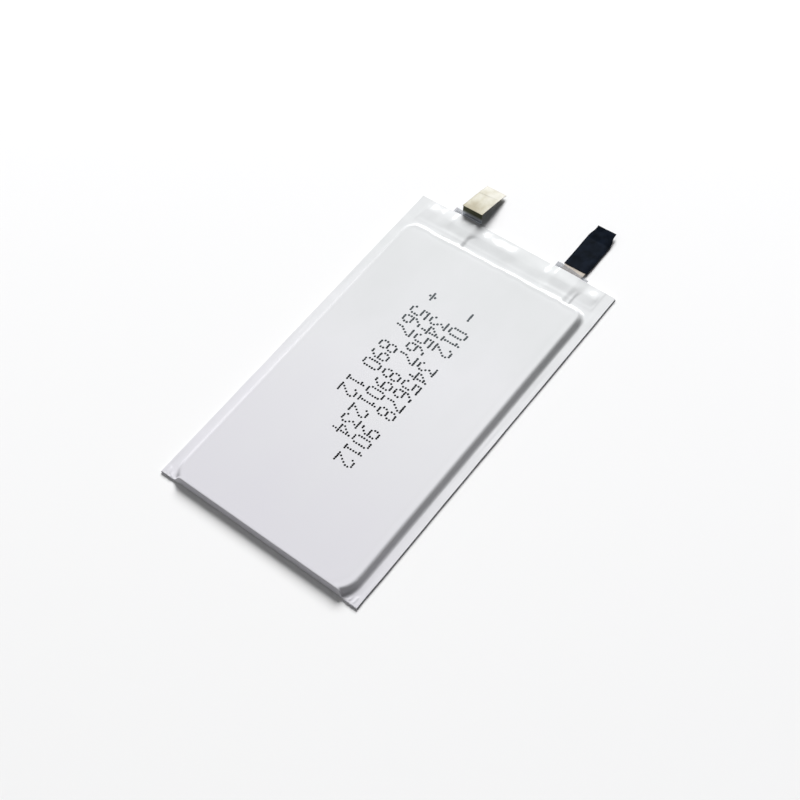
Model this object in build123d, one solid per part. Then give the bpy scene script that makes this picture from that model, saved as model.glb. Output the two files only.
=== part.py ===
"""Thin lithium-polymer pouch cell: a laminate pouch folded at one end and heat
sealed on the other three sides, a stacked electrode pack inside it, and two flat
metal tabs that leave through the end seal.

Frame: millimetres. Origin at the centre of the 30 x 50 outline of the pouch, on the
plane of its flat back. +Y runs from the folded end to the tab end, +X runs across the
width so that the negative tab is on the +X side, +Z is up, out of the formed face.
"""

import math
import os

from build123d import *

os.makedirs("parts", exist_ok=True)

# ---------------------------------------------------------------- driving sizes
WIDTH = 30.0            # pouch outline across, side seals unfolded
LENGTH = 50.0           # pouch outline along, tabs not counted
THICK = 1.0             # over the formed cup

T_NYLON = 0.025         # laminate, outside to inside
T_ALU = 0.040
T_PP = 0.048
T_FILM = T_NYLON + T_ALU + T_PP

# formed cup, outside surface
CUP_HALF_FOOT = 13.67   # where the unrounded side wall meets the seal margin
CUP_HALF_TOP = 13.223   # where it meets the top face
CUP_END_FOOT = 20.79    # tab end, same wall
CUP_END_TOP = 20.343
CUP_R_FOOT = 2.20       # plan corner radii
CUP_R_TOP = 1.45
R_BEND = 0.45           # forming radius over the shoulder and at the foot

# tabs
TAB_W = 3.0
TAB_T = 0.10
POS_X = -7.25           # tab centre lines
NEG_X = 8.35
POS_SEAL_X = -7.83      # the positive tab sits to one side of its sealant film
POS_SEAL_W = 4.5
NEG_SEAL_X = 8.31
NEG_SEAL_W = 4.85
SEAL_T = 0.05
SEAL_IN = 21.0          # sealant film starts here, just inside the end seal
POS_SEAL_OUT = 25.17    # and ends here under the bend of the positive tab
POS_FLAP_OUT = 25.80    # but runs on as a flap beside it
POS_FLAP_GAP = 0.12
NEG_SEAL_OUT = 25.60
TAB_IN = 19.10          # inner end of both tabs
Z_MID = T_FILM          # inner face of the flat back film
Z_TAB = Z_MID + SEAL_T  # underside of both tabs
Z_AXIS = Z_TAB + TAB_T / 2

# positive tab: aluminium bent up, then out again, with a nickel strip welded on
POS_ROOT_Y = 25.25      # first bend
POS_RISE_DEG = 72.0     # the riser stands at this angle to the back plane
POS_RISE = 1.335        # between the two bends
POS_FALL_DEG = 12.0     # the outer end falls by this much
POS_AL_OUT = 3.15       # aluminium, beyond the second bend
NI_T = 0.08
NI_BACK = 0.12          # nickel strip starts this far back over the riser
NI_FLAT = 3.38          # to the set in the strip
NI_END = 1.75           # beyond it
NI_SET_DEG = 5.0

# negative tab: nickel, nearly flat, wrapped in insulating tape
NEG_ROOT_Y = 25.68
NEG_KINK_Y = 30.70
NEG_KINK_DEG = 9.0
NEG_TIP_Y = 31.30       # end of the nickel
TAPE_T = 0.06
TAPE_W = 3.34
TAPE_TIP_W = 2.70
TAPE_IN = 25.74
TAPE_OUT = 32.75

BEND_GAP = 0.012        # running gap at a bend line

# electrode pack
SEP_T = 0.016
CU_T = 0.008
AL_T = 0.012
C_COAT = 0.066          # cathode layer on each face
A_COAT = 0.0785         # anode layer on each face
PACK_Z0 = Z_MID + 0.024
SEP_HALF = 12.20        # the separator folds start here
SEP_Y0, SEP_Y1 = -24.3, 18.10
A_HALF = 12.10
A_Y0, A_Y1 = -23.95, 17.7
C_HALF = 11.75
C_Y0, C_Y1 = -23.6, 17.3
EAR_W = TAB_W
EAR_Y0, EAR_Y1 = 18.25, 19.08   # the ears slope to the tab between these
EAR_END = 20.25
EAR_Z = Z_TAB + TAB_T           # the ears lie on top of the tab
PACK_TAPE_T = 0.018
PACK_TAPE_HALF = 12.33          # inside of the fixing tape at the sides
PACK_TAPE_IN = 9.3
PACK_TAPE_Y = 9.0               # width of each tape along the cell
WELD_TAPE_T = 0.03

Y_FOLD = -LENGTH / 2
Y_EDGE = LENGTH / 2
HALF = WIDTH / 2


def box(x0, x1, y0, y1, z0, z1):
    """A box from its limits."""
    return Pos((x0 + x1) / 2, (y0 + y1) / 2, (z0 + z1) / 2) * Box(x1 - x0, y1 - y0, z1 - z0)


def ribbon(points, t, x0, x1, round_start=False):
    """A strip of thickness t along a bent centre line in Y and Z, from x0 to x1 wide."""
    up, down = [], []
    n = len(points)
    for i, (y, z) in enumerate(points):
        if i == 0 or i == n - 1:
            p, q = (points[0], points[1]) if i == 0 else (points[-2], points[-1])
            length = math.hypot(q[0] - p[0], q[1] - p[1])
            ny, nz = -(q[1] - p[1]) / length, (q[0] - p[0]) / length
            m = t / 2
        else:
            p, q = points[i - 1], points[i + 1]
            l1 = math.hypot(y - p[0], z - p[1])
            l2 = math.hypot(q[0] - y, q[1] - z)
            ny = -(z - p[1]) / l1 - (q[1] - z) / l2
            nz = (y - p[0]) / l1 + (q[0] - y) / l2
            k = math.hypot(ny, nz)
            ny, nz = ny / k, nz / k
            m = t / 2 / max(0.2, -(z - p[1]) / l1 * ny + (y - p[0]) / l1 * nz)
        up.append((y + ny * m, z + nz * m))
        down.append((y - ny * m, z - nz * m))
    body = yz_prism(up + down[::-1], x0, x1)
    if round_start:
        y, z = points[0]
        body += Pos((x0 + x1) / 2, y, z) * Rot(0, 90, 0) * Cylinder(t / 2, x1 - x0)
    return body


def outline(half, y0, y1, r, z):
    """A rounded rectangle as a face at height z."""
    return Pos(0, (y0 + y1) / 2, z) * RectangleRounded(2 * half, y1 - y0, r)


def yz_prism(points, x0, x1):
    """A polygon given in Y and Z, extended from x0 to x1."""
    face = make_face(Polyline(*[(x0, y, z) for y, z in points], close=True))
    return extrude(face, amount=x1 - x0, dir=(1, 0, 0))


def xz_prism(points, y0, y1):
    """A polygon given in X and Z, extended from y0 to y1."""
    face = make_face(Polyline(*[(x, y0, z) for x, z in points], close=True))
    return extrude(face, amount=y1 - y0, dir=(0, 1, 0))


# ---------------------------------------------------------------- pouch laminate
def cup(d):
    """The formed cup, its surface moved in by d along the wall's normal."""
    k = 0.5774 * d
    z0, z1 = 2 * T_FILM - d, THICK - d
    foot = outline(CUP_HALF_FOOT - k, Y_FOLD + d, CUP_END_FOOT - k, CUP_R_FOOT - k, z0)
    top = outline(CUP_HALF_TOP - k, Y_FOLD + d, CUP_END_TOP - k, CUP_R_TOP - k, z1)
    body = loft([foot, top], ruled=True)
    body = fillet(body.faces().sort_by(Axis.Z)[-1].edges(), R_BEND - d)
    return body


def seal_section(x, w_seal, x_tab, g=0.0):
    """Section across a tab and its sealant films, grown by g for the film over them."""
    left, right = x - w_seal / 2, x + w_seal / 2
    tl = max(left + 0.30, x_tab - TAB_W / 2 - 0.12)
    tr = min(right - 0.10, x_tab + TAB_W / 2 + 0.12)
    z0, z1 = Z_MID + 0.02, Z_TAB + TAB_T + SEAL_T
    if g == 0:
        return [(left, Z_MID), (right, Z_MID), (right, z0), (tr, z1), (tl, z1), (left, z0)]
    h = 0.55 * g
    return [(left - h, Z_MID), (right + h, Z_MID), (right + h, z0 + 0.35 * g), (tr + h, z1 + g), (tl - h, z1 + g), (left - h, z0 + 0.35 * g)]


POS_SECTION = (POS_SEAL_X, POS_SEAL_W, POS_X)
NEG_SECTION = (NEG_SEAL_X, NEG_SEAL_W, NEG_X)


def envelope(d):
    """Outside of everything that lies at depth d or more in the laminate."""
    z_top = 2 * T_FILM - d
    body = box(-HALF, HALF, Y_FOLD - 4, Y_EDGE, d, z_top) + cup(d)
    foot = [
        e
        for e in body.edges().filter_by_position(Axis.Z, z_top - 1e-4, z_top + 1e-4)
        if abs(e.center().X) < CUP_HALF_FOOT + 0.01 and Y_FOLD - 0.01 < e.center().Y < CUP_END_FOOT + 0.01
    ]
    body = fillet(foot, R_BEND + d)
    body -= box(-HALF - 1, HALF + 1, Y_FOLD - 5, Y_FOLD + d, -1, 2)
    edge = body.edges().filter_by(Axis.X).sort_by(lambda e: (e.center().Y, e.center().Z))[0]
    body = fillet(edge, T_FILM + 0.08 - d)
    g = T_FILM - d
    for section in (POS_SECTION, NEG_SECTION):
        body += xz_prism(seal_section(*section, g), 20.2, Y_EDGE)
    return body


parts = {}

# The laminate, as three bonded layers. The cut edges show all three; at the folded end
# the back sheet turns up round the end of the cup.
outer = envelope(0.0)
alu = envelope(T_NYLON)
inner = envelope(T_NYLON + T_ALU)
cavity = cup(T_FILM)
parts["pouch_nylon_layer"] = outer - alu
parts["pouch_aluminium_layer"] = alu - inner
passage = xz_prism(seal_section(*POS_SECTION), SEAL_IN - 0.5, Y_EDGE + 1) + xz_prism(
    seal_section(*NEG_SECTION), SEAL_IN - 0.5, Y_EDGE + 1
)
parts["pouch_polypropylene_layer"] = inner - cavity - passage

# ---------------------------------------------------------------- electrode pack
z = PACK_Z0
sep_levels = []
ear_stack = {"anode": 0, "cathode": 0}


def plate(kind, number, z_foil, t, coat_below, coat_above):
    """A foil with its ear and the active layers on it."""
    half, y0, y1, x_ear = (A_HALF, A_Y0, A_Y1, NEG_X) if kind == "anode" else (C_HALF, C_Y0, C_Y1, POS_X)
    coat = A_COAT if kind == "anode" else C_COAT
    metal = "copper" if kind == "anode" else "aluminium"
    z_ear = EAR_Z + ear_stack[kind] * t
    ear_stack[kind] += 1
    foil = box(-half, half, y0, y1, z_foil, z_foil + t)
    ear = yz_prism(
        [
            (y1 - 0.5, z_foil), (EAR_Y0, z_foil), (EAR_Y1, z_ear), (EAR_END, z_ear),
            (EAR_END, z_ear + t), (EAR_Y1, z_ear + t), (EAR_Y0, z_foil + t), (y1 - 0.5, z_foil + t),
        ],
        x_ear - EAR_W / 2,
        x_ear + EAR_W / 2,
    )
    parts[f"{kind}_{metal}_foil_{number}"] = foil + ear
    if coat_below:
        parts[f"{kind}_layer_{number}_lower"] = box(-half, half, y0, y1, z_foil - coat, z_foil)
    if coat_above:
        parts[f"{kind}_layer_{number}_upper"] = box(-half, half, y0, y1, z_foil + t, z_foil + t + coat)


def separator_level():
    """Notes the height of the next separator layer."""
    global z
    sep_levels.append(z)
    z += SEP_T


separator_level()
plate("anode", 1, z, CU_T, False, True)
z += CU_T + A_COAT
separator_level()
plate("cathode", 1, z + C_COAT, AL_T, True, True)
z += 2 * C_COAT + AL_T
separator_level()
plate("anode", 2, z + A_COAT, CU_T, True, True)
z += 2 * A_COAT + CU_T
separator_level()
plate("cathode", 2, z + C_COAT, AL_T, True, True)
z += 2 * C_COAT + AL_T
separator_level()
plate("anode", 3, z + A_COAT, CU_T, True, False)
z += A_COAT + CU_T
separator_level()
PACK_Z1 = z

# One separator sheet, folded to and fro between the plates.
separator = None
for level in sep_levels:
    sheet = box(-SEP_HALF, SEP_HALF, SEP_Y0, SEP_Y1, level, level + SEP_T)
    separator = sheet if separator is None else separator + sheet
for i in range(len(sep_levels) - 1):
    side = 1 if i % 2 == 0 else -1
    zc = (sep_levels[i] + sep_levels[i + 1] + SEP_T) / 2
    r_out = (sep_levels[i + 1] + SEP_T - sep_levels[i]) / 2
    ring = Cylinder(r_out, SEP_Y1 - SEP_Y0) - Cylinder(r_out - SEP_T, SEP_Y1 - SEP_Y0)
    ring = Pos(side * SEP_HALF, (SEP_Y0 + SEP_Y1) / 2, zc) * Rot(90, 0, 0) * ring
    x0, x1 = (SEP_HALF, SEP_HALF + 1) if side > 0 else (-SEP_HALF - 1, -SEP_HALF)
    separator += ring & box(x0, x1, SEP_Y0, SEP_Y1, 0, 1)
parts["separator"] = separator

# Fixing tapes round the two long sides of the stack.
for name, side in (("left", -1), ("right", 1)):
    xo, xi = side * (PACK_TAPE_HALF + PACK_TAPE_T), side * PACK_TAPE_IN
    tape = box(min(xo, xi), max(xo, xi), -7 - PACK_TAPE_Y / 2, -7 + PACK_TAPE_Y / 2, PACK_Z0 - PACK_TAPE_T, PACK_Z1 + PACK_TAPE_T)
    xh, xl = side * PACK_TAPE_HALF, side * (PACK_TAPE_IN - 1)
    tape -= box(min(xh, xl), max(xh, xl), -7 - PACK_TAPE_Y, -7 + PACK_TAPE_Y, PACK_Z0, PACK_Z1)
    parts[f"stack_tape_{name}"] = tape

# ---------------------------------------------------------------- tabs
def sealant_pair(name, section, y_out, tab, flap=None):
    """Two films, one under and one over the tab, welded to each other beside it."""
    both = xz_prism(seal_section(*section), SEAL_IN, y_out)
    if flap:
        x_flap, y_flap = flap
        both = xz_prism(seal_section(*section), SEAL_IN, y_flap) - box(x_flap, HALF, y_out, y_flap + 1, -1, 2)
    low = box(-HALF, HALF, 0, 40, -1, Z_AXIS)
    parts[f"{name}_tab_sealant_lower"] = (both & low) - tab
    parts[f"{name}_tab_sealant_upper"] = (both - low) - tab


def weld_tape(name, x):
    """Thin tape wrapped round the ears and the inner end of a tab."""
    t, w, top = WELD_TAPE_T, TAB_W / 2, EAR_Z + 0.024
    tape = box(x - w - t, x + w + t, EAR_Y1 + 0.08, EAR_END + 0.18, Z_TAB - t, top + t)
    parts[f"{name}_weld_tape"] = tape - box(x - w, x + w, 18, 21, Z_TAB, top)


# positive
px0, px1 = POS_X - TAB_W / 2, POS_X + TAB_W / 2
a = math.radians(POS_RISE_DEG)
b = math.radians(-POS_FALL_DEG)
c = math.radians(-POS_FALL_DEG - NI_SET_DEG)
A = (POS_ROOT_Y, Z_AXIS)
E = (A[0] + POS_RISE * math.cos(a), A[1] + POS_RISE * math.sin(a))
root_end = POS_ROOT_Y - TAB_T / 2 - BEND_GAP
pos_root = box(px0, px1, TAB_IN, root_end, Z_TAB, Z_TAB + TAB_T)
sealant_pair("positive", POS_SECTION, POS_SEAL_OUT, pos_root, (px0 - POS_FLAP_GAP, POS_FLAP_OUT))
parts["positive_tab_root"] = pos_root
weld_tape("positive", POS_X)
s = POS_RISE - TAB_T / 2 - BEND_GAP
parts["positive_tab_riser"] = ribbon([A, (A[0] + s * math.cos(a), A[1] + s * math.sin(a))], TAB_T, px0, px1, True)
out_end = (E[0] + POS_AL_OUT * math.cos(b), E[1] + POS_AL_OUT * math.sin(b))
parts["positive_tab_outer"] = ribbon([E, out_end], TAB_T, px0, px1, True)
h = TAB_T / 2 + NI_T / 2
n0 = (E[0] - h * math.sin(b), E[1] + h * math.cos(b))
NI0 = (n0[0] - NI_BACK * math.cos(b), n0[1] - NI_BACK * math.sin(b))
NI1 = (n0[0] + NI_FLAT * math.cos(b), n0[1] + NI_FLAT * math.sin(b))
NI2 = (NI1[0] + NI_END * math.cos(c), NI1[1] + NI_END * math.sin(c))
parts["positive_nickel_strip"] = ribbon([NI0, NI1, NI2], NI_T, px0 - 0.03, px1 + 0.03)

# negative
nx0, nx1 = NEG_X - TAB_W / 2, NEG_X + TAB_W / 2
B = (NEG_ROOT_Y, Z_AXIS)
neg_root = box(nx0, nx1, TAB_IN, NEG_ROOT_Y - TAB_T / 2 - BEND_GAP, Z_TAB, Z_TAB + TAB_T)
sealant_pair("negative", NEG_SECTION, NEG_SEAL_OUT, neg_root)
parts["negative_tab_root"] = neg_root
weld_tape("negative", NEG_X)
k = math.radians(NEG_KINK_DEG)
K = (NEG_KINK_Y, Z_AXIS)
T = (NEG_TIP_Y, Z_AXIS + (NEG_TIP_Y - NEG_KINK_Y) * math.tan(k))
neg_outer = ribbon([B, K, T], TAB_T, nx0, nx1, True)
parts["negative_tab_outer"] = neg_outer
V = (TAPE_OUT, Z_AXIS + (TAPE_OUT - NEG_KINK_Y) * math.tan(k))
tx0, tx1 = NEG_X - TAPE_W / 2, NEG_X + TAPE_W / 2
tape = ribbon([(TAPE_IN, Z_AXIS), K, V], TAB_T + 2 * TAPE_T, tx0, tx1)
for side in (-1, 1):
    cut = [(NEG_X + side * TAPE_W / 2, 31.35), (NEG_X + side * 3, 31.35), (NEG_X + side * 3, 34), (NEG_X + side * (TAPE_TIP_W / 2 - 0.2), 34), (NEG_X + side * TAPE_TIP_W / 2, TAPE_OUT)]
    tape -= extrude(make_face(Polyline(*[(x, y, -1) for x, y in cut], close=True)), amount=4, dir=(0, 0, 1))
parts["negative_tab_tape"] = tape - neg_outer

for name, shape in parts.items():
    solids = shape.solids()
    if len(solids) != 1:
        print("CHECK", name, "solids:", len(solids), [round(s.volume, 5) for s in solids])
    shape.label = name
    export_step(solids[0] if len(solids) == 1 else shape, f"parts/{name}.step")

print(len(parts), "pieces")
print("elbow", E, "nickel set", NI1, "nickel tip", NI2, "pack top", PACK_Z1)
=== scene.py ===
"""Looks for the thin pouch cell: formed laminate film, bent tabs, tape, sealant and ink."""

import math

import bmesh
import bpy
import numpy as np
from mathutils import Matrix, Vector


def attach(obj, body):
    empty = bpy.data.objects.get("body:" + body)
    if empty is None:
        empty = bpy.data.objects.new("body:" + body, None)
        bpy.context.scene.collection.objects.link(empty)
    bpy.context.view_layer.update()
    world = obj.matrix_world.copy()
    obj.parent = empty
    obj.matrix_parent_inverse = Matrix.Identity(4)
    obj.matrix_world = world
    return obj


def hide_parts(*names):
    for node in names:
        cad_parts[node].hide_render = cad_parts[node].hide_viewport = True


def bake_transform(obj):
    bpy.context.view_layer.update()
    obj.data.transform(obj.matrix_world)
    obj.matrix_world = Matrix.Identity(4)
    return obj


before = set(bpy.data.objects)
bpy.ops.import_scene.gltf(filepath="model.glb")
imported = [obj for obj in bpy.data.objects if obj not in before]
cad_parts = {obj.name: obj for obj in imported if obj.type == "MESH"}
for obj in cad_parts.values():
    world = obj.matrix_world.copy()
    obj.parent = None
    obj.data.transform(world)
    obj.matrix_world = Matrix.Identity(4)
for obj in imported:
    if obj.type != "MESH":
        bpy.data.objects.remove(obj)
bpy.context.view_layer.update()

MM = 0.001

# ------------------------------------------------------------------ sizes, mm, as in the CAD
HALF = 15.0
Y_FOLD, Y_EDGE = -25.0, 25.0
T_FILM = 0.113
Z_TAB = 0.163
TAB_T = 0.10
Z_AXIS = Z_TAB + TAB_T / 2
TOP = 1.0
MID_X = 13.446          # half way up the side wall of the cup
MID_TAB = 20.567        # half way up the wall at the tab end
POS_X, NEG_X = -7.25, 8.35
TAB_W = 3.0


# ------------------------------------------------------------------ small helpers
def smooth(t):
    t = np.clip(t, 0.0, 1.0)
    return t * t * (3 - 2 * t)


def step(x, at, width):
    """0 below, 1 above, with a soft edge of the given width centred on at."""
    return smooth((np.asarray(x, float) - at) / width + 0.5)


class Noise:
    """Smooth repeatable noise from a seeded lattice, about -1 to 1."""

    def __init__(self, seed):
        self.g = np.random.RandomState(seed).uniform(-1, 1, (128, 128))

    def __call__(self, x, y=0.0):
        x, y = np.broadcast_arrays(np.asarray(x, float) + 512.0, np.asarray(y, float) + 512.0)
        i, j = np.floor(x).astype(int), np.floor(y).astype(int)
        u, v = smooth(x - i), smooth(y - j)
        g = self.g
        a = g[i % 128, j % 128] * (1 - u) + g[(i + 1) % 128, j % 128] * u
        b = g[i % 128, (j + 1) % 128] * (1 - u) + g[(i + 1) % 128, (j + 1) % 128] * u
        return a * (1 - v) + b * v


n_a, n_b, n_c, n_d = Noise(11), Noise(23), Noise(37), Noise(51)


def mesh_object(name, verts, faces, materials, face_mats=None, smooth_shade=True):
    """A mesh from vertices in mm."""
    me = bpy.data.meshes.new(name)
    me.from_pydata([(v[0] * MM, v[1] * MM, v[2] * MM) for v in verts], [], [tuple(int(i) for i in f) for f in faces])
    for m in materials:
        me.materials.append(m)
    if face_mats is not None:
        me.polygons.foreach_set("material_index", np.asarray(face_mats, np.int32))
    me.polygons.foreach_set("use_smooth", [smooth_shade] * len(me.polygons))
    me.validate()
    me.update()
    ob = bpy.data.objects.new(name, me)
    bpy.context.scene.collection.objects.link(ob)
    return ob


def tidy(ob, merge=0.0):
    """Merges doubled points, drops empty faces and makes the normals agree."""
    bm = bmesh.new()
    bm.from_mesh(ob.data)
    if merge:
        bmesh.ops.remove_doubles(bm, verts=bm.verts, dist=merge * MM)
    bmesh.ops.dissolve_degenerate(bm, edges=bm.edges, dist=1e-8)
    bmesh.ops.recalc_face_normals(bm, faces=bm.faces)
    bm.to_mesh(ob.data)
    bm.free()
    ob.data.update()
    return ob


def sharpen(ob, degrees=38):
    """Marks the edges that turn by more than this as sharp."""
    me = ob.data
    bm = bmesh.new()
    bm.from_mesh(me)
    for e in bm.edges:
        e.smooth = not (len(e.link_faces) == 2 and e.calc_face_angle(0) > math.radians(degrees))
    bm.to_mesh(me)
    bm.free()
    return ob


# ------------------------------------------------------------------ materials
def new_mat(name):
    m = bpy.data.materials.new(name)
    m.use_nodes = True
    nt = m.node_tree
    for n in list(nt.nodes):
        nt.nodes.remove(n)
    out = nt.nodes.new("ShaderNodeOutputMaterial")
    bsdf = nt.nodes.new("ShaderNodeBsdfPrincipled")
    nt.links.new(bsdf.outputs[0], out.inputs[0])
    return m, nt, bsdf


def obj_coord(nt, scale=(1, 1, 1)):
    tc = nt.nodes.new("ShaderNodeTexCoord")
    mp = nt.nodes.new("ShaderNodeMapping")
    mp.inputs["Scale"].default_value = scale
    nt.links.new(tc.outputs["Object"], mp.inputs["Vector"])
    return mp.outputs["Vector"]


def noise_tex(nt, vec, scale, detail=3.0, rough=0.55):
    n = nt.nodes.new("ShaderNodeTexNoise")
    n.inputs["Scale"].default_value = scale
    n.inputs["Detail"].default_value = detail
    n.inputs["Roughness"].default_value = rough
    nt.links.new(vec, n.inputs["Vector"])
    return n.outputs["Fac"]


def ramp(nt, fac, stops):
    r = nt.nodes.new("ShaderNodeValToRGB")
    el = r.color_ramp.elements
    while len(el) > len(stops):
        el.remove(el[-1])
    while len(el) < len(stops):
        el.new(1.0)
    for e, (p, c) in zip(el, stops):
        e.position = p
        e.color = (*c, 1.0) if len(c) == 3 else c
    nt.links.new(fac, r.inputs["Fac"])
    return r.outputs["Color"]


def map_range(nt, fac, a, b, c, d):
    m = nt.nodes.new("ShaderNodeMapRange")
    m.inputs["From Min"].default_value = a
    m.inputs["From Max"].default_value = b
    m.inputs["To Min"].default_value = c
    m.inputs["To Max"].default_value = d
    nt.links.new(fac, m.inputs["Value"])
    return m.outputs["Result"]


def bump_node(nt, bsdf, height, strength, distance):
    b = nt.nodes.new("ShaderNodeBump")
    b.inputs["Strength"].default_value = strength
    b.inputs["Distance"].default_value = distance
    nt.links.new(height, b.inputs["Height"])
    nt.links.new(b.outputs["Normal"], bsdf.inputs["Normal"])
    return b


def film_material():
    """Satin aluminium laminate seen through clear nylon, with painted shade darkening it towards the tab end."""
    m, nt, s = new_mat("laminate_film")
    big = noise_tex(nt, obj_coord(nt, (90, 55, 90)), 1.0, 3.0)
    fine = noise_tex(nt, obj_coord(nt, (9000, 900, 9000)), 1.0, 2.0)
    grain = noise_tex(nt, obj_coord(nt, (14000, 14000, 14000)), 1.0, 2.0)
    tc = nt.nodes.new("ShaderNodeTexCoord")
    sep = nt.nodes.new("ShaderNodeSeparateXYZ")
    nt.links.new(tc.outputs["Object"], sep.inputs[0])
    # painted shade: the colour darkens and turns greener from the folded end towards the tab end; the big noise adds
    # random tone on top
    drift = nt.nodes.new("ShaderNodeMath")
    drift.operation = "ADD"
    nt.links.new(map_range(nt, sep.outputs["Y"], -0.025, 0.025, 0.0, 1.0), drift.inputs[0])
    nt.links.new(map_range(nt, big, 0.3, 0.7, -0.14, 0.14), drift.inputs[1])
    col = ramp(nt, drift.outputs[0], [(0.0, (0.648, 0.640, 0.678)), (0.50, (0.664, 0.666, 0.684)), (1.0, (0.592, 0.604, 0.608))])
    nt.links.new(col, s.inputs["Base Color"])
    nt.links.new(map_range(nt, fine, 0.3, 0.7, 0.48, 0.56), s.inputs["Roughness"])
    s.inputs["Metallic"].default_value = 0.05
    s.inputs["Coat Weight"].default_value = 0.30
    s.inputs["Coat Roughness"].default_value = 0.09
    s.inputs["IOR"].default_value = 1.5
    s.inputs["Specular IOR Level"].default_value = 0.12
    bump_node(nt, s, grain, 0.12, 0.000004)
    return m


def cut_edge_material():
    """The cut edge of the two bonded sheets: polymer with a bright metal core."""
    m, nt, s = new_mat("laminate_cut_edge")
    n = noise_tex(nt, obj_coord(nt, (2500, 2500, 12000)), 1.0, 3.0)
    nt.links.new(ramp(nt, n, [(0.3, (0.66, 0.66, 0.67)), (0.7, (0.80, 0.80, 0.82))]), s.inputs["Base Color"])
    nt.links.new(map_range(nt, n, 0.3, 0.7, 0.4, 0.6), s.inputs["Roughness"])
    s.inputs["Metallic"].default_value = 0.35
    return m


def metal_material(name, dark, light, rough=(0.28, 0.42), grain_axis="y", metallic=1.0, bump=0.15, spec=0.5):
    """Rolled strip with fine lines along it."""
    m, nt, s = new_mat(name)
    sc = (22000, 1200, 9000) if grain_axis == "y" else (1200, 22000, 9000)
    lines = noise_tex(nt, obj_coord(nt, sc), 1.0, 3.0)
    patch = noise_tex(nt, obj_coord(nt, (700, 500, 700)), 1.0, 3.0)
    nt.links.new(ramp(nt, patch, [(0.3, dark), (0.7, light)]), s.inputs["Base Color"])
    nt.links.new(map_range(nt, lines, 0.3, 0.7, rough[0], rough[1]), s.inputs["Roughness"])
    s.inputs["Metallic"].default_value = metallic
    s.inputs["Specular IOR Level"].default_value = spec
    bump_node(nt, s, lines, bump, 0.000003)
    return m


def polymer_material(name, dark, light, rough=(0.35, 0.5), scale=800, alpha=None, coat=0.0, bump=0.1, transmission=0.0, spec=0.5):
    m, nt, s = new_mat(name)
    n = noise_tex(nt, obj_coord(nt, (scale, scale, scale)), 1.0, 4.0)
    f = noise_tex(nt, obj_coord(nt, (16000, 16000, 16000)), 1.0, 2.0)
    nt.links.new(ramp(nt, n, [(0.3, dark), (0.7, light)]), s.inputs["Base Color"])
    nt.links.new(map_range(nt, f, 0.3, 0.7, rough[0], rough[1]), s.inputs["Roughness"])
    s.inputs["Coat Weight"].default_value = coat
    s.inputs["Coat Roughness"].default_value = 0.2
    s.inputs["Specular IOR Level"].default_value = spec
    if transmission:
        s.inputs["Transmission Weight"].default_value = transmission
    if alpha is not None:
        s.inputs["Alpha"].default_value = alpha
    bump_node(nt, s, f, bump, 0.000004)
    return m


def ink_material():
    """Ink, near black at the folded end and thinner towards the tabs."""
    m, nt, s = new_mat("ink")
    tc = nt.nodes.new("ShaderNodeTexCoord")
    sep = nt.nodes.new("ShaderNodeSeparateXYZ")
    nt.links.new(tc.outputs["Object"], sep.inputs[0])
    along = map_range(nt, sep.outputs["Y"], -0.013, 0.013, 0.0, 1.0)
    speck = noise_tex(nt, obj_coord(nt, (3500, 3500, 3500)), 1.0, 3.0)
    add = nt.nodes.new("ShaderNodeMath")
    add.operation = "ADD"
    nt.links.new(along, add.inputs[0])
    nt.links.new(map_range(nt, speck, 0.3, 0.7, -0.12, 0.12), add.inputs[1])
    nt.links.new(ramp(nt, add.outputs[0], [(0.0, (0.002, 0.002, 0.003)), (0.45, (0.010, 0.012, 0.014)), (1.0, (0.100, 0.116, 0.124))]), s.inputs["Base Color"])
    nt.links.new(map_range(nt, speck, 0.3, 0.7, 0.55, 0.70), s.inputs["Roughness"])
    s.inputs["Specular IOR Level"].default_value = 0.04
    return m


def shade_painted_metal(name):
    """Aluminium darkened to dark olive near the nickel strip: painted shade under the strip, set per point on the
    mesh.
    """
    m, nt, s = new_mat(name)
    lines = noise_tex(nt, obj_coord(nt, (22000, 1200, 9000)), 1.0, 3.0)
    att = nt.nodes.new("ShaderNodeAttribute")
    att.attribute_name = "shade_under_strip"
    add = nt.nodes.new("ShaderNodeMath")
    add.operation = "ADD"
    nt.links.new(att.outputs["Fac"], add.inputs[0])
    nt.links.new(map_range(nt, lines, 0.3, 0.7, -0.06, 0.06), add.inputs[1])
    # painted shade: bright bluish aluminium low down, dark olive where the painted shade under the nickel strip is
    # strongest
    nt.links.new(ramp(nt, add.outputs[0], [(0.05, (0.62, 0.65, 0.70)), (0.45, (0.20, 0.21, 0.20)), (0.80, (0.055, 0.058, 0.030))]), s.inputs["Base Color"])
    nt.links.new(map_range(nt, lines, 0.3, 0.7, 0.30, 0.42), s.inputs["Roughness"])
    s.inputs["Metallic"].default_value = 0.75
    bump_node(nt, s, lines, 0.12, 0.000003)
    return m


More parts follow.
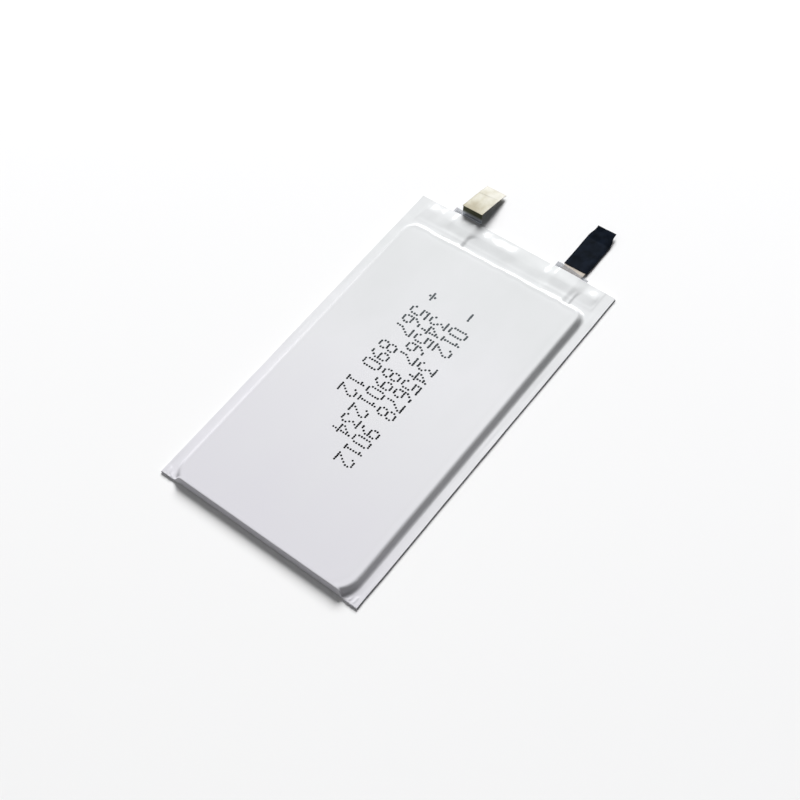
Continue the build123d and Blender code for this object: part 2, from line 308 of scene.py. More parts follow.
def nickel_material():
    """Nickel strip: darker and browner near the bend, paler towards its end, in patches."""
    m, nt, s = new_mat("nickel_strip_metal")
    tc = nt.nodes.new("ShaderNodeTexCoord")
    sep = nt.nodes.new("ShaderNodeSeparateXYZ")
    nt.links.new(tc.outputs["Object"], sep.inputs[0])
    along = map_range(nt, sep.outputs["Y"], 0.0256, 0.0305, 0.05, 0.80)
    patch = noise_tex(nt, obj_coord(nt, (620, 420, 300)), 1.0, 4.0, 0.6)
    lines = noise_tex(nt, obj_coord(nt, (22000, 1200, 9000)), 1.0, 3.0)
    add = nt.nodes.new("ShaderNodeMath")
    add.operation = "ADD"
    nt.links.new(along, add.inputs[0])
    nt.links.new(map_range(nt, patch, 0.3, 0.7, -0.30, 0.30), add.inputs[1])
    stops = [(0.0, (0.21, 0.188, 0.125)), (0.35, (0.29, 0.275, 0.215)), (0.70, (0.355, 0.345, 0.300)), (1.0, (0.400, 0.392, 0.352))]
    nt.links.new(ramp(nt, add.outputs[0], stops), s.inputs["Base Color"])
    nt.links.new(map_range(nt, lines, 0.3, 0.7, 0.50, 0.62), s.inputs["Roughness"])
    s.inputs["Metallic"].default_value = 0.15
    s.inputs["Specular IOR Level"].default_value = 0.3
    bump_node(nt, s, lines, 0.08, 0.000003)
    return m


film = film_material()
riser_metal = shade_painted_metal("riser_aluminium")
cut_edge = cut_edge_material()
nickel = nickel_material()
nickel_tab = metal_material("nickel_tab_metal", (0.25, 0.222, 0.192), (0.35, 0.312, 0.272), rough=(0.50, 0.62), metallic=0.2, bump=0.04, spec=0.3)
tab_alu = metal_material("tab_aluminium_metal", (0.62, 0.63, 0.64), (0.76, 0.77, 0.78), rough=(0.22, 0.34))
sealant_mat = polymer_material("sealant_film", (0.20, 0.215, 0.25), (0.27, 0.29, 0.33), rough=(0.42, 0.55), scale=1500, alpha=0.25, coat=0.0, bump=0.03, spec=0.3)
# the tape's colour mixes near-black navy with lighter blue patches; the lighter patches are painted sheen
black_tape = polymer_material("insulating_tape", (0.0022, 0.0040, 0.0068), (0.0070, 0.0110, 0.0200), rough=(0.50, 0.62), scale=900, coat=0.0, bump=0.15, spec=0.012)
ink = ink_material()
copper = metal_material("copper_foil_metal", (0.72, 0.40, 0.28), (0.85, 0.52, 0.38), rough=(0.3, 0.4))
alu_foil = metal_material("aluminium_foil_metal", (0.74, 0.75, 0.76), (0.86, 0.87, 0.88), rough=(0.25, 0.4))
lam_alu = metal_material("laminate_foil_metal", (0.70, 0.71, 0.72), (0.82, 0.83, 0.84), rough=(0.3, 0.45))
graphite = polymer_material("graphite_coating", (0.020, 0.020, 0.022), (0.045, 0.045, 0.05), rough=(0.6, 0.8), scale=2500, bump=0.4)
oxide = polymer_material("oxide_coating", (0.050, 0.047, 0.052), (0.085, 0.08, 0.088), rough=(0.65, 0.85), scale=2500, bump=0.4)
separator_mat = polymer_material("separator_film", (0.80, 0.80, 0.79), (0.90, 0.90, 0.89), rough=(0.5, 0.7), scale=600, alpha=0.9)
pack_tape_mat = polymer_material("fixing_tape", (0.10, 0.28, 0.52), (0.16, 0.36, 0.62), rough=(0.2, 0.35), scale=600, alpha=0.85)
weld_tape_mat = polymer_material("weld_tape", (0.55, 0.30, 0.05), (0.70, 0.42, 0.09), rough=(0.18, 0.3), scale=900, alpha=0.8, coat=0.3)
pp_mat = polymer_material("polypropylene_layer", (0.62, 0.63, 0.64), (0.74, 0.75, 0.76), rough=(0.4, 0.55), scale=600, alpha=0.85)

# ------------------------------------------------------------------ shape of the formed film
BEND_R = 0.45
SLOPE = math.radians(60)
RISE = TOP - 2 * T_FILM
HALF_RUN = BEND_R * math.sin(SLOPE) + 0.5 * (RISE - 2 * BEND_R * (1 - math.cos(SLOPE))) / math.tan(SLOPE)


def wall(d):
    """Share of the cup's height, from 1 on the top face to 0 at the foot; d is the distance out from mid wall."""
    d = np.asarray(d, float)
    a = d + HALF_RUN
    b = HALF_RUN - d
    arc = BEND_R * math.sin(SLOPE)
    top_arc = RISE - (BEND_R - np.sqrt(np.clip(BEND_R**2 - np.clip(a, 0, arc) ** 2, 0, None)))
    foot_arc = BEND_R - np.sqrt(np.clip(BEND_R**2 - np.clip(b, 0, arc) ** 2, 0, None))
    mid = RISE / 2 - d * math.tan(SLOPE)
    z = np.where(a < arc, top_arc, np.where(b < arc, foot_arc, mid))
    z = np.where(a < 0, RISE, np.where(b < 0, 0.0, z))
    return z / RISE


def corner_distance(x, y, y_mid, sign, r):
    """Distance out from the mid-wall line of a cup with one rounded end at y_mid."""
    qx = np.abs(x) - (MID_X - r)
    qy = sign * (y - y_mid) + r
    return np.hypot(np.maximum(qx, 0), np.maximum(qy, 0)) + np.minimum(np.maximum(qx, qy), 0) - r


def seal_bump(x, y):
    """Extra height of the front film over the sealant films and the tabs."""
    drift = 0.05 * n_c(x * 0.3, y * 0.7)
    soft = step(y, 22.8, 1.2)
    pos = 0.10 * step(x, -10.10 + drift, 1.5) * (1 - step(x, -5.50 + drift + 0.35 * soft, 0.42 + 1.1 * soft))
    pos = pos + 0.10 * step(x, -9.35 + drift, 1.2) * (1 - step(x, -5.72 + drift + 0.35 * soft, 0.46 + 1.1 * soft))
    neg = 0.10 * step(x, 6.00 + drift, 1.5) * (1 - step(x, 10.74 + drift + 0.10 * soft, 0.34 + 0.7 * soft))
    neg = neg + 0.10 * step(x, 6.45 + drift, 1.2) * (1 - step(x, 9.98 + drift + 0.10 * soft, 0.70 + 0.5 * soft))
    return pos + neg


def front_height(x, y):
    """Outside of the front film, mm above the back."""
    x, y = np.broadcast_arrays(np.asarray(x, float), np.asarray(y, float))
    wob = 0.060 * n_a(x * 0.55, 3.0) + 0.055 * n_b(x * 1.15, 1.0)
    d_tab = corner_distance(x, y + wob, MID_TAB, 1, 1.60)
    d_tab = np.where(d_tab > -2, d_tab * (1 + (0.34 + 0.30 * n_c(x * 0.8, 4.0)) * step(y, 19.0, 1.6) * (1 - step(np.abs(x), 12.6, 1.4))), d_tab)
    # at the fold the wall cuts across each corner and runs out at the folded edge
    side_d, diag_d = np.abs(x) - MID_X, ((np.abs(x) - 12.05) - (y + 25.0)) / math.sqrt(2)
    mix = np.clip(1.0 - np.abs(side_d - diag_d), 0, None)
    d_fold = np.maximum(side_d, diag_d) + 0.25 * mix**2
    d = np.maximum(d_tab, d_fold) + 0.010 * n_c(x * 0.4, y * 0.35)
    share = wall(d)
    cup = 2 * T_FILM + RISE * share
    # the top face is drawn tight over the stack, with a faint roll near its edges
    inside = np.clip(-(d + HALF_RUN), 0, None)
    cup = cup - 0.010 * share * smooth(inside / 2.5) * (0.5 + 0.5 * n_d(x * 0.16, y * 0.13))
    cup = cup - 0.008 * share * np.exp(-((inside - 0.55) / 0.35) ** 2)
    # end seal: pressed band, ridge where the seal bar ends, and a looser lip outside it
    out = 1 - share
    end = step(y, 21.2, 0.8) * out
    across = 1 - step(np.abs(x), 13.35, 0.5)
    pucker = 0.5 + 0.5 * n_a(x * 0.62, 9.0) + 0.25 * n_b(x * 1.4, 5.0)
    ridge_y = 23.25 + 0.16 * n_b(x * 0.30, 7.0)
    ramp_up = np.clip((y - 20.95) / (ridge_y - 20.95), 0, 1)
    rise = 0.65 * ramp_up + 0.35 * smooth(ramp_up)
    fall = 1 - 0.75 * smooth((y - ridge_y - 0.15) / (1.75 + 0.3 * n_c(x * 0.9, 2.0)))
    lip = rise * fall * (0.048 + 0.058 * pucker)
    lip = lip + 0.012 * rise * n_b(x * 1.0, y * 0.9)
    band = -0.014 * step(y, 21.8, 0.5) * (1 - rise)
    z = cup + end * across * (band + lip)
    z = z + end * 0.032 * np.exp(-((np.abs(x) - 13.5) / 0.14) ** 2) * step(y, 21.6, 1.0)
    z = z + seal_bump(x, y) * step(y, 20.55, 0.9) * out * (1 - 0.15 * step(y, 21.8, 0.8) * (1 - rise))
    # side seals: a soft waviness, no higher than the film allows
    side = step(np.abs(x), 13.95, 0.25) * out * (1 - step(y, 21.0, 1.5))
    z = z + side * (0.012 + 0.010 * n_d(x * 0.9, y * 0.35) + 0.006 * n_b(y * 0.9, 4.0) + 0.013 * n_c(np.abs(x) * 3.1, y * 0.22))
    # pleats where the film gathers at the folded corners
    gather = step(np.abs(x), 12.75, 0.5) * (1 - step(y, -23.9, 0.7)) * (1 - step(np.abs(x), 14.55, 0.5))
    z = z + 0.070 * np.exp(-((diag_d - 0.86 + 0.05 * n_a(y * 2.0, x)) / 0.10) ** 2) * gather
    z = z + 0.045 * np.exp(-((diag_d - 1.30 + 0.05 * n_b(y * 2.0, x)) / 0.09) ** 2) * gather
    return np.clip(z, 2 * T_FILM - 0.008, TOP)


def fold_line(x):
    """Y of the folded end: the corners stand out a little."""
    return Y_FOLD + 0.14 * (1 - smooth((np.abs(x) - 11.8) / 2.0))


def edge_shift(x, y):
    """The end seal's cut edge droops towards the negative side."""
    return -0.42 * ((np.clip(x, -HALF, HALF) + HALF) / 30.0) ** 1.6 * smooth((y - 21.3) / 3.7)


def build_film():
    xs = np.concatenate([np.arange(0, 11.4, 0.40), np.arange(11.4, 15.0, 0.105), [15.0]])
    xs = np.concatenate([-xs[:0:-1], xs])
    # extra columns where the end seal steps over the tabs
    extra = np.concatenate([np.arange(-10.8, -8.7, 0.13), np.arange(-6.1, -5.0, 0.075), np.arange(5.3, 7.1, 0.13), np.arange(9.5, 11.2, 0.075)])
    xs = np.unique(np.round(np.concatenate([xs, extra]), 3))
    keep = [xs[0]]
    for v in xs[1:]:
        if v - keep[-1] > 0.035:
            keep.append(v)
    xs = np.array(keep)
    xs[-1] = HALF
    n = len(xs)
    yf = fold_line(xs)
    z_top = front_height(xs, yf + 0.42)
    share = np.clip((z_top - 2 * T_FILM) / RISE, 0, 1)
    r_top = 0.112 + 0.05 * share
    r_bot = 0.112 + 0.03 * share
    lean = 0.20 * share
    rows_y, rows_z = [], []
    back = np.concatenate([np.linspace(Y_EDGE, 21.0, 12), np.linspace(20.0, -24.0, 45)])
    for y in back:
        yy = y + edge_shift(xs, y)
        lift = 0.010 * (0.5 + 0.5 * n_d(xs * 0.25 + 9, y * 0.2)) * smooth((HALF - np.abs(xs)) / 3.0) * smooth((Y_EDGE - y) / 4.0)
        rows_y.append(yy)
        rows_z.append(lift)
    rows_y.append(yf + r_bot + 0.25)
    rows_z.append(np.zeros(n))
    for a in np.linspace(0, math.pi / 2, 7):
        rows_y.append(yf + r_bot * (1 - math.sin(a)))
        rows_z.append(r_bot * (1 - math.cos(a)))
    for t in (0.33, 0.66):
        rows_y.append(yf + t * lean)
        rows_z.append(r_bot + t * (z_top - r_top - r_bot))
    for a in np.linspace(0, math.pi / 2, 9):
        rows_y.append(yf + lean + r_top * (1 - math.cos(a)))
        rows_z.append(z_top - r_top * (1 - math.sin(a)))
    for k, d in enumerate((0.06, 0.13, 0.21, 0.30, 0.40)):
        y = yf + lean + r_top + d
        rows_y.append(y)
        rows_z.append(front_height(xs, y) * min(1, 0.4 + 0.15 * k) + (1 - min(1, 0.4 + 0.15 * k)) * z_top)
    front = np.concatenate([np.arange(-24.0, -22.6, 0.09), np.arange(-22.6, 19.4, 0.52), np.arange(19.4, 24.99, 0.085), [25.0]])
    for y in front:
        rows_y.append(y + edge_shift(xs, y))
        rows_z.append(front_height(xs, y))
    Y, Z = np.array(rows_y), np.array(rows_z)
    X = np.broadcast_to(xs, Y.shape).copy()
    # soft waviness of the cut side edges
    X = X - np.sign(X) * np.where(np.abs(X) > 14.3, 1, 0) * (0.02 + 0.02 * n_a(Y * 0.3, np.sign(X) * 2)) * smooth((np.abs(X) - 14.3) / 0.7)
    P = np.stack([X, Y, Z], -1)
    m = P.shape[0]
    du = np.gradient(P, axis=1)
    dv = np.gradient(P, axis=0)
    N = np.cross(dv, du)
    N /= np.maximum(np.linalg.norm(N, axis=-1, keepdims=True), 1e-12)
    # on the back, travel is towards the fold and outward is down
    if N[3, n // 2, 2] > 0:
        N = -N
    T = 0.098
    Q = P - N * T
    Q[..., 1] = np.minimum(Q[..., 1], P[..., 1].max())
    Q[..., 0] = np.clip(Q[..., 0], P[..., 0].min(), P[..., 0].max())
    verts = np.concatenate([P.reshape(-1, 3), Q.reshape(-1, 3)])
    idx = np.arange(m * n).reshape(m, n)
    off = m * n
    faces, mats = [], []
    a, b, c, d = idx[:-1, :-1], idx[:-1, 1:], idx[1:, 1:], idx[1:, :-1]
    outer = np.stack([a, b, c, d], -1).reshape(-1, 4)
    inner = np.stack([a, d, c, b], -1).reshape(-1, 4) + off
    faces += outer.tolist()
    mats += [0] * len(outer)
    faces += inner.tolist()
    mats += [0] * len(inner)
    for j in (0, n - 1):
        for i in range(m - 1):
            q = [idx[i, j], idx[i + 1, j], idx[i + 1, j] + off, idx[i, j] + off]
            faces.append(q if j == 0 else q[::-1])
            mats.append(1)
    for i in (0, m - 1):
        for j in range(n - 1):
            q = [idx[i, j + 1], idx[i, j], idx[i, j] + off, idx[i, j + 1] + off]
            faces.append(q if i == 0 else q[::-1])
            mats.append(1)
    ob = mesh_object("pouch_film", verts, faces, [film, cut_edge], mats)
    tidy(ob)
    return sharpen(ob, 42)


pouch = build_film()
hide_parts("pouch_nylon_layer", "pouch_aluminium_layer", "pouch_polypropylene_layer")
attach(pouch, "cell")


# ------------------------------------------------------------------ strips along a bent path
def bent_path(points, radius, pitch=0.12, arc_steps=8):
    """Points along a polyline in Y and Z with round bends: a list of (y, z, angle)."""
    pts = [np.array(p, float) for p in points]
    out = []
    prev = pts[0]
    for i in range(1, len(pts)):
        cur = pts[i]
        d0 = (cur - prev) / np.linalg.norm(cur - prev)
        if i < len(pts) - 1:
            r = radius[i - 1]
            d1 = pts[i + 1] - cur
            d1 = d1 / np.linalg.norm(d1)
            turn = math.atan2(d0[0] * d1[1] - d0[1] * d1[0], d0 @ d1)
            cut = r * math.tan(abs(turn) / 2)
            stop = cur - d0 * cut
        else:
            stop, turn = cur, 0
        run = np.linalg.norm(stop - prev)
        steps = max(1, int(run / pitch))
        a0 = math.atan2(d0[1], d0[0])
        for s in range(steps + (1 if i == len(pts) - 1 else 0)):
            out.append((*(prev + (stop - prev) * s / steps), a0))
        if i < len(pts) - 1:
            side = 1 if turn > 0 else -1
            centre = stop + side * r * np.array([-d0[1], d0[0]])
            for s in range(arc_steps):
                t = turn * s / arc_steps
                ang = a0 + t
                out.append((*(centre - side * r * np.array([-math.sin(ang), math.cos(ang)])), ang))
            prev = cur + d1 * cut
    return out


def section(width, thick, bevel=0.018, nx=14):
    """Points round a strip's section: across X, and up from its middle."""
    w, t, b = width / 2, thick / 2, bevel
    b = min(b, t * 0.9)
    pts = []
    top = np.linspace(-(w - b), w - b, nx)
    pts += [(x, t) for x in top]
    pts += [(w - b * (1 - math.sin(a)), t - b * (1 - math.cos(a))) for a in (math.pi / 6, math.pi / 3, math.pi / 2)]
    pts += [(w - b * (1 - math.cos(a)), -(t - b * (1 - math.sin(a)))) for a in (0.0, math.pi / 6, math.pi / 3)]
    pts += [(x, -t) for x in top[::-1]]
    pts += [(-(w - b * (1 - math.sin(a))), -(t - b * (1 - math.cos(a)))) for a in (math.pi / 6, math.pi / 3, math.pi / 2)]
    pts += [(-(w - b * (1 - math.cos(a))), t - b * (1 - math.sin(a))) for a in (0.0, math.pi / 6, math.pi / 3)]
    return pts


def strip(name, path, x_mid, width, thick, mats, shape=None, bevel=0.018, nx=14):
    """Sweeps a strip's section along a path; shape(s, u, x, h) may move a point across X and along its normal."""
    length = [0.0]
    for p, q in zip(path, path[1:]):
        length.append(length[-1] + math.hypot(q[0] - p[0], q[1] - p[1]))
    sec = section(width, thick, bevel, nx)
    k = len(sec)
    verts, faces = [], []
    for i, (y, z, ang) in enumerate(path):
        for x, h in sec:
            xx, hh = x, h
            if shape:
                xx, hh = shape(length[i], length[-1], x, h)
            verts.append((x_mid + xx, y - math.sin(ang) * hh, z + math.cos(ang) * hh))
    m = len(path)
    for i in range(m - 1):
        for j in range(k):
            a, b = i * k + j, i * k + (j + 1) % k
            faces.append((a, b, b + k, a + k))
    faces.append(tuple(range(k))[::-1])
    faces.append(tuple((m - 1) * k + j for j in range(k)))
    ob = mesh_object(name, verts, faces, mats)
    tidy(ob)
    return sharpen(ob, 40)


# positive tab
RISE_A = math.radians(72)
FALL = math.radians(-12)
SET = math.radians(-17)
ROOT = np.array([25.25, Z_AXIS])
ELBOW = ROOT + 1.335 * np.array([math.cos(RISE_A), math.sin(RISE_A)])
MIDRISE = ROOT + 0.66 * np.array([math.cos(RISE_A), math.sin(RISE_A)])
OUT = ELBOW + 3.15 * np.array([math.cos(FALL), math.sin(FALL)])

def shade_under_strip(ob):
    """Gives each point of the aluminium its share of painted shade: none in the seal, most under the nickel strip.
    """
    z = np.array([v.co.z for v in ob.data.vertices]) / MM
    y = np.array([v.co.y for v in ob.data.vertices]) / MM
    amount = smooth((z - 0.45) / 0.75) * np.where(y > 26.2, 0.5, 1.0)
    att = ob.data.attributes.new("shade_under_strip", "FLOAT", "POINT")
    att.data.foreach_set("value", amount.astype(np.float32))


lower = bent_path([(19.1, Z_AXIS), tuple(ROOT), tuple(MIDRISE)], [0.16], arc_steps=10)
tab_lower = strip("positive_tab_lower", lower, POS_X, TAB_W, TAB_T, [riser_metal])
shade_under_strip(tab_lower)
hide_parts("positive_tab_root", "positive_tab_riser")
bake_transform(tab_lower)

upper = bent_path([tuple(MIDRISE), tuple(ELBOW), tuple(OUT)], [0.12], arc_steps=10)
tab_upper = strip("positive_tab_upper", upper, POS_X, TAB_W, TAB_T, [riser_metal])
shade_under_strip(tab_upper)
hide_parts("positive_tab_outer")
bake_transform(tab_upper)

NI_T = 0.08
up = (TAB_T + NI_T) / 2
n0 = ELBOW + up * np.array([-math.sin(FALL), math.cos(FALL)])
ni_a = n0 - 0.12 * np.array([math.cos(FALL), math.sin(FALL)])
ni_b = n0 + 3.38 * np.array([math.cos(FALL), math.sin(FALL)])
ni_c = ni_b + 1.75 * np.array([math.cos(SET), math.sin(SET)])


def nickel_shape(s, total, x, h):
    edge = smooth((abs(x) - 1.2) / 0.4)
    crease = 0.042 * math.exp(-(((s - 3.42 - 0.10 * x) / 0.14) ** 2))
    wave = 0.006 * float(n_b(x * 0.7, s * 0.8)) + 0.004 * float(n_a(x * 1.5, s * 1.3))
    bow = 0.012 * (1 - (x / 1.53) ** 2) * smooth(s / 0.6)
    return x, h - crease * (1 - 0.5 * edge) + wave * smooth(s / 0.5) + bow * 0.6


ni = strip("positive_nickel_strip_shaped", bent_path([tuple(ni_a), tuple(ni_b), tuple(ni_c)], [1.2], pitch=0.1, arc_steps=5), POS_X, 3.06, NI_T, [nickel], nickel_shape, bevel=0.012)
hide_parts("positive_nickel_strip")
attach(ni, "positive_strip")

# negative tab: nickel, then the tape over it
KINK = math.radians(9)
NEG_PATH = [(19.1, Z_AXIS), (30.70, Z_AXIS), (31.30, Z_AXIS + 0.6 * math.tan(KINK))]
neg = strip("negative_tab_strip", bent_path(NEG_PATH, [0.8], arc_steps=5), NEG_X, TAB_W, TAB_T, [nickel_tab])
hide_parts("negative_tab_root", "negative_tab_outer")
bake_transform(neg)


def tape_shape(s, total, x, h):
    """Pillowed over the nickel, pinched along its sides, flat and folded in at its end."""
    tip = smooth((s - 5.45) / 0.9)
    over = 1 - smooth((abs(x) - 1.30) / 0.30)
    half = 0.112 * over + 0.060 * (1 - over)
    half = half * (1 - tip) + (0.066 + 0.012 * float(n_b(x * 1.3, s * 1.4))) * tip
    w = 1 - (1 - 2.70 / 3.34) * smooth((s - 5.15) / 1.5)
    crumple = 0.010 * float(n_a(x * 1.2, s * 0.9)) + 0.007 * float(n_c(x * 2.6, s * 2.1))
    fold = 0.028 * tip * math.exp(-(((x - 0.55 + (s - 6.6) * 0.9) / 0.16) ** 2))
    fold -= 0.020 * tip * math.exp(-(((x + 0.50 - (s - 6.6) * 0.7) / 0.18) ** 2))
    k = h / 0.11
    ragged = 0.03 * float(n_d(s * 0.7, 2.0 if x > 0 else 6.0))
    return x * w * (1 - 0.012) + ragged * smooth((abs(x) - 1.2) / 0.4), k * half + (crumple + fold) * (0.9 if h > 0 else 0.5)


TAPE_PATH = [(25.75, Z_AXIS), (30.70, Z_AXIS), (32.73, Z_AXIS + 2.03 * math.tan(KINK))]
tape = strip("negative_tab_tape_wrap", bent_path(TAPE_PATH, [0.9], pitch=0.09, arc_steps=6), NEG_X, 3.34, 0.22, [black_tape], tape_shape, bevel=0.05, nx=34)
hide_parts("negative_tab_tape")
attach(tape, "negative_strip")


# ------------------------------------------------------------------ sealant films
def sealant(name, replaced, left, right, t_left, t_right, y_in, y_out, upper_film, bodies):
    """One film: it lies on the tab where there is one and meets its twin beside it. y_out(x) is its outer edge."""
    xs = np.unique(np.concatenate([np.linspace(left, right, 34), [t_left - 0.04, t_left, t_right, t_right + 0.04]]))
    ts = np.concatenate([np.linspace(0, 0.8, 12), np.linspace(0.83, 1.0, 12)])
    X = np.broadcast_to(xs, (len(ts), len(xs))).copy()
    yo = np.array([y_out(x) for x in xs])
    Y = y_in + np.outer(ts, yo - y_in)
    over = step(xs, t_left - 0.02, 0.10) * (1 - step(xs, t_right + 0.02, 0.10))
    sgn = 1 if upper_film else -1
    inner = Z_AXIS + sgn * (0.004 + (TAB_T / 2 + 0.002) * over)
    outer = Z_AXIS + sgn * (0.045 + (TAB_T / 2 + 0.006) * over)
    zi, zo = np.broadcast_to(inner, Y.shape).copy(), np.broadcast_to(outer, Y.shape).copy()
    # pressed thinner between the two sheets of film
    roof = front_height(X, np.minimum(Y, 24.9) + 0.0) - 0.103
    roof = np.where(Y > 25.02, 9.0, roof)
    middle = np.where(over > 0.02, Z_AXIS, np.minimum(Z_AXIS, (roof + 0.103) / 2))
    zi = zi + (middle - Z_AXIS)
    zo = np.minimum(zo, np.maximum(roof, zi + 0.008)) if upper_film else np.maximum(zo, 0.103)
    free = smooth((Y - 25.05) / 0.35)
    curl = 0.035 * n_b(X * 0.9, Y * 1.2) * free * (1 - np.broadcast_to(over, Y.shape))
    zi, zo = zi + curl, zo + curl
    # the rim thins and rounds off
    rim = smooth((1 - np.broadcast_to(ts[:, None], Y.shape)) / 0.03) * smooth((X - left) / 0.08) * smooth((right - X) / 0.08)
    zo = zi + (zo - zi) * (0.45 + 0.55 * rim)
    P, Q = np.stack([X, Y, zo], -1), np.stack([X, Y, zi], -1)
    m, n = Y.shape
    idx = np.arange(m * n).reshape(m, n)
    off = m * n
    a, b, c, d = idx[:-1, :-1], idx[:-1, 1:], idx[1:, 1:], idx[1:, :-1]
    faces = np.stack([a, b, c, d], -1).reshape(-1, 4).tolist()
    faces += (np.stack([a, d, c, b], -1).reshape(-1, 4) + off).tolist()
    for j in (0, n - 1):
        faces += [[idx[i, j], idx[i + 1, j], idx[i + 1, j] + off, idx[i, j] + off] for i in range(m - 1)]
    for i in (0, m - 1):
        faces += [[idx[i, j], idx[i, j + 1], idx[i, j + 1] + off, idx[i, j] + off] for j in range(n - 1)]
    ob = mesh_object(name, np.concatenate([P.reshape(-1, 3), Q.reshape(-1, 3)]), faces, [sealant_mat])
    tidy(ob)
    sharpen(ob, 45)
    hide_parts(replaced)
    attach(ob, bodies)
    return ob


def pos_out(x):
    """A flap beside the tab, and a short margin under its bend."""
    flap = 25.78 - 0.10 * smooth((x + 9.4) / 0.5) + 0.02 * math.sin(x * 5)
    return flap * (1 - float(step(x, -8.90, 0.05))) + 25.165 * float(step(x, -8.90, 0.05))


def neg_out(x):
    return 25.59 - 0.52 * float(smooth((x - 5.9) / 5.2)) - 0.05 * float(smooth((x - 10.2) / 0.5)) + 0.015 * math.sin(x * 4)


for up_film in (True, False):
    tag = "upper" if up_film else "lower"
    sealant(f"positive_sealant_{tag}", f"positive_tab_sealant_{tag}", -10.07, -5.59, POS_X - 1.5, POS_X + 1.5, 21.0, pos_out, up_film, "cell")
    sealant(f"negative_sealant_{tag}", f"negative_tab_sealant_{tag}", 5.90, 10.72, NEG_X - 1.5, NEG_X + 1.5, 21.0, neg_out, up_film, "cell")

# ------------------------------------------------------------------ ink: plain counting digits and the two polarity signs
DIGITS = {
    "0": ["01110", "10001", "10001", "10001", "10001", "10001", "01110"],
    "1": ["00100", "01100", "00100", "00100", "00100", "00100", "01110"],
    "2": ["01110", "10001", "00001", "00010", "00100", "01000", "11111"],
    "3": ["11111", "00010", "00100", "00010", "00001", "10001", "01110"],
    "4": ["00010", "00110", "01010", "10010", "11111", "00010", "00010"],
    "5": ["11111", "10000", "11110", "00001", "00001", "10001", "01110"],
    "6": ["00110", "01000", "10000", "11110", "10001", "10001", "01110"],
    "7": ["11111", "00001", "00010", "00100", "01000", "01000", "01000"],
    "8": ["01110", "10001", "10001", "01110", "10001", "10001", "01110"],
    "9": ["01110", "10001", "10001", "01111", "00001", "00010", "01100"],
    "+": ["00000", "00000", "00100", "11111", "00100", "00000", "00000"],
    "-": ["00000", "00000", "00000", "11111", "00000", "00000", "00000"],
}
PITCH_U, PITCH_V = 0.25, 0.385
rng = np.random.RandomState(7)
dots = []


def print_char(ch, x_mid, y_start, size=1.0):
    """One character, its top towards +X, read towards -Y."""
    for r, row in enumerate(DIGITS[ch]):
        for c, bit in enumerate(row):
            if bit == "1":
                u = c * PITCH_U + rng.uniform(-0.02, 0.02)
                v = (3 - r) * PITCH_V + rng.uniform(-0.02, 0.02)
                slant = 0.0105 * (y_start - u - 12)
                r_dot = (0.152 + 0.0010 * (y_start - u)) * size * rng.uniform(0.93, 1.07)
                dots.append((x_mid + v + slant * 0.6, y_start - u, r_dot))


for text, x_mid, y_first in (("012 345678 9012", 2.62, 10.0), ("34567 8901234", -0.33, 10.0), ("567 890 12", -3.32, 10.0)):
    for i, ch in enumerate(text):
        if ch != " ":
            print_char(ch, x_mid, y_first - i * 1.52)
print_char("+", -3.40, 12.75, 0.98)
print_char("-", 2.40, 12.75, 0.98)


def build_ink():
    verts, faces = [], []
    k = 12
    for x, y, r in dots:
        base = len(verts)
        ring_r = [1.0 + rng.uniform(-0.08, 0.08) for _ in range(k)]
        for level, (scale, lift) in enumerate(((1.0, -0.004), (1.0, 0.001), (0.82, 0.0035))):
            for j in range(k):
                a = 2 * math.pi * j / k
                px, py = x + r * scale * ring_r[j] * math.cos(a) * 1.02, y + r * scale * ring_r[j] * math.sin(a)
                verts.append((px, py, lift))
        for level in range(2):
            for j in range(k):
                a, b = base + level * k + j, base + level * k + (j + 1) % k
                faces.append((a, b, b + k, a + k))
        faces.append(tuple(base + j for j in range(k))[::-1])
        faces.append(tuple(base + 2 * k + j for j in range(k)))
    v = np.array(verts)
    v[:, 2] += front_height(v[:, 0], v[:, 1])
    ob = mesh_object("ink_marks", v, faces, [ink])
    return tidy(ob)


marks = build_ink()
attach(marks, "cell")

# ------------------------------------------------------------------ finish of the pieces inside
look = {
    "anode_copper": copper,
    "anode_layer": graphite,
    "cathode_aluminium": alu_foil,
    "cathode_layer": oxide,
    "separator": separator_mat,
    "stack_tape": pack_tape_mat,
    "positive_weld": weld_tape_mat,
    "negative_weld": weld_tape_mat,
    "pouch_nylon": film,
    "pouch_aluminium": lam_alu,
    "pouch_polypropylene": pp_mat,
    "positive_tab_sealant": sealant_mat,
    "negative_tab_sealant": sealant_mat,
    "negative_tab_tape": black_tape,
    "positive_nickel": nickel,
    "negative_tab": nickel_tab,
    "positive_tab": tab_alu,
}
for node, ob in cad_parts.items():
    mat = next(m for key, m in look.items() if node.startswith(key))
    if not ob.material_slots:
        ob.data.materials.append(mat)
    for s in ob.material_slots:
        s.material = mat

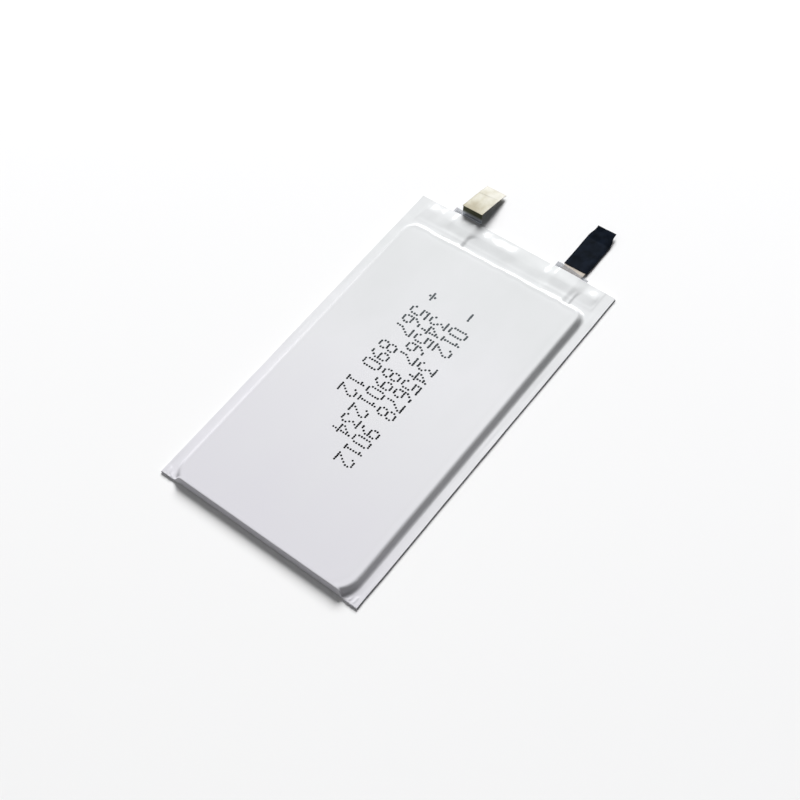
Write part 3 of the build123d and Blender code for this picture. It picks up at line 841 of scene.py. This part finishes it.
# ------------------------------------------------------------------ stage, light, camera
fm, fnt, fs = new_mat("floor_white")
fs.inputs["Roughness"].default_value = 0.9
fs.inputs["Specular IOR Level"].default_value = 0.1
fnt.links.new(ramp(fnt, noise_tex(fnt, obj_coord(fnt, (3, 3, 3)), 1.0, 2.0), [(0.3, (0.84, 0.84, 0.845)), (0.7, (0.85, 0.85, 0.85))]), fs.inputs["Base Color"])
R = 1200.0
floor_v = [(R * math.cos(a), R * math.sin(a), -0.02) for a in np.linspace(0, 2 * math.pi, 48, endpoint=False)]
floor = mesh_object("floor", floor_v, [tuple(range(48))], [fm], smooth_shade=False)


def area(name, loc, target, size, power, color=(1, 1, 1)):
    li = bpy.data.lights.new(name, "AREA")
    li.shape = "RECTANGLE"
    li.size, li.size_y = size
    li.energy = power
    li.color = color
    ob = bpy.data.objects.new(name, li)
    ob.location = loc
    d = Vector(target) - Vector(loc)
    ob.rotation_euler = d.to_track_quat("-Z", "Y").to_euler()
    bpy.context.scene.collection.objects.link(ob)
    return ob


area("key", (-0.68, 1.36, 0.98), (0, 0, 0), (0.90, 0.80), 62.0)
area("fill", (-0.60, -0.90, 1.30), (0, 0, 0), (0.90, 0.90), 2.5)
area("side", (-1.40, 0.20, 0.95), (0, 0, 0), (0.80, 0.80), 1.5)

bpy.context.scene.view_settings.view_transform = "Standard"

world = bpy.data.worlds.new("studio")
bpy.context.scene.world = world
world.use_nodes = True
bg = world.node_tree.nodes["Background"]
bg.inputs[0].default_value = (0.96, 0.97, 1.0, 1)
bg.inputs[1].default_value = 0.08

az, el, roll = math.radians(49.691), math.radians(56.477), math.radians(-13.2)
back = Vector((math.sin(az) * math.cos(el), -math.cos(az) * math.cos(el), math.sin(el)))
right = Vector((math.cos(az), math.sin(az), 0))
upv = back.cross(right)
cam_x = right * math.cos(roll) + upv * math.sin(roll)
cam_y = -right * math.sin(roll) + upv * math.cos(roll)
loc = Vector((2.133, 23.637 - 25.0, 0)) * MM + back * 158.307 * MM
cam = bpy.data.cameras.new("camera")
cam.sensor_width = 36.0
cam.lens = 1342.28 / 800 * 36.0
cam.clip_start = 0.005
cam.clip_end = 10
cam_ob = bpy.data.objects.new("camera", cam)
rot = Matrix((cam_x, cam_y, back)).transposed()
cam_ob.matrix_world = Matrix.Translation(loc) @ rot.to_4x4()
bpy.context.scene.collection.objects.link(cam_ob)
bpy.context.scene.camera = cam_ob

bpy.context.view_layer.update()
